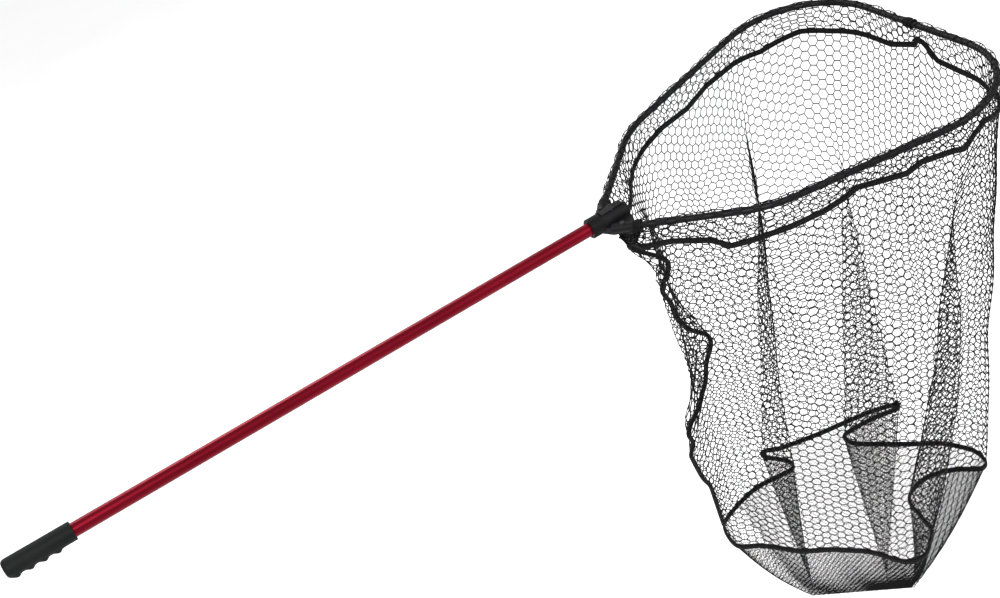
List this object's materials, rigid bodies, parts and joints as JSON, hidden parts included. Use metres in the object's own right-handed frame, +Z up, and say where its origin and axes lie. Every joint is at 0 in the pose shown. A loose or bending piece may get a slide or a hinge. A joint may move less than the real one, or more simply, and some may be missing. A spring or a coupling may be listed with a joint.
{
  "type": "landing net",
  "caption": "Landing net with a sliding tubular handle, moulded yoke, bent tube hoop and a deep mesh bag for lifting fish from the water.",
  "frame": {"origin": "on the handle's axis, in the middle of the bare tube between the grip and the yoke", "axes": "+X along the handle from the grip to the hoop, +Z up, the bag hanging along -Z"},
  "size_m": [1.9442, 0.6462, 1.1406],
  "materials": {
    "red_anodised": "satin anodised red",
    "black_plastic": "matte",
    "grip_rubber": "matte, finely pebbled",
    "yoke_plastic": "moulded, fine grain",
    "bush_plastic": "smooth",
    "zinc_steel": "bright zinc",
    "black_painted": "satin black",
    "netting": "coated twine",
    "binding": "woven tape",
    "fine_netting": "coated twine"
  },
  "bodies": {
    "handle": {"handle_tube": "red_anodised", "front_stop": "black_plastic", "grip": "grip_rubber", "butt_cap": "black_plastic"},
    "yoke": {"yoke_body": "yoke_plastic", "slide_bush": "bush_plastic", "lever_pin": "zinc_steel", "lever_spring": "zinc_steel", "hoop_frame": "black_painted", "hoop_bolts": "zinc_steel", "hoop_washers": "zinc_steel", "hoop_nuts": "zinc_steel", "net_sleeve": "netting", "sleeve_ties": "binding", "upper_tape": "binding", "net_wall": "netting", "wall_seam": "binding", "lower_tape": "binding", "net_floor": "fine_netting"},
    "lever": {"release_lever": "yoke_plastic"}
  },
  "joints": [
    {"name": "yoke_slide", "type": "slide", "parent": "handle", "child": "yoke", "axis": [1, 0, 0], "range_m": [-0.64, 0]},
    {"name": "lever_press", "type": "hinge", "parent": "yoke", "child": "lever", "pos_m": [0.563, 0, 0.0174], "axis": [0, 1, 0], "range_deg": [0, 5], "stiffness_Nm_per_rad": 0.6, "springref_deg": -8.59, "deforming": ["lever_spring"]}
  ]
}
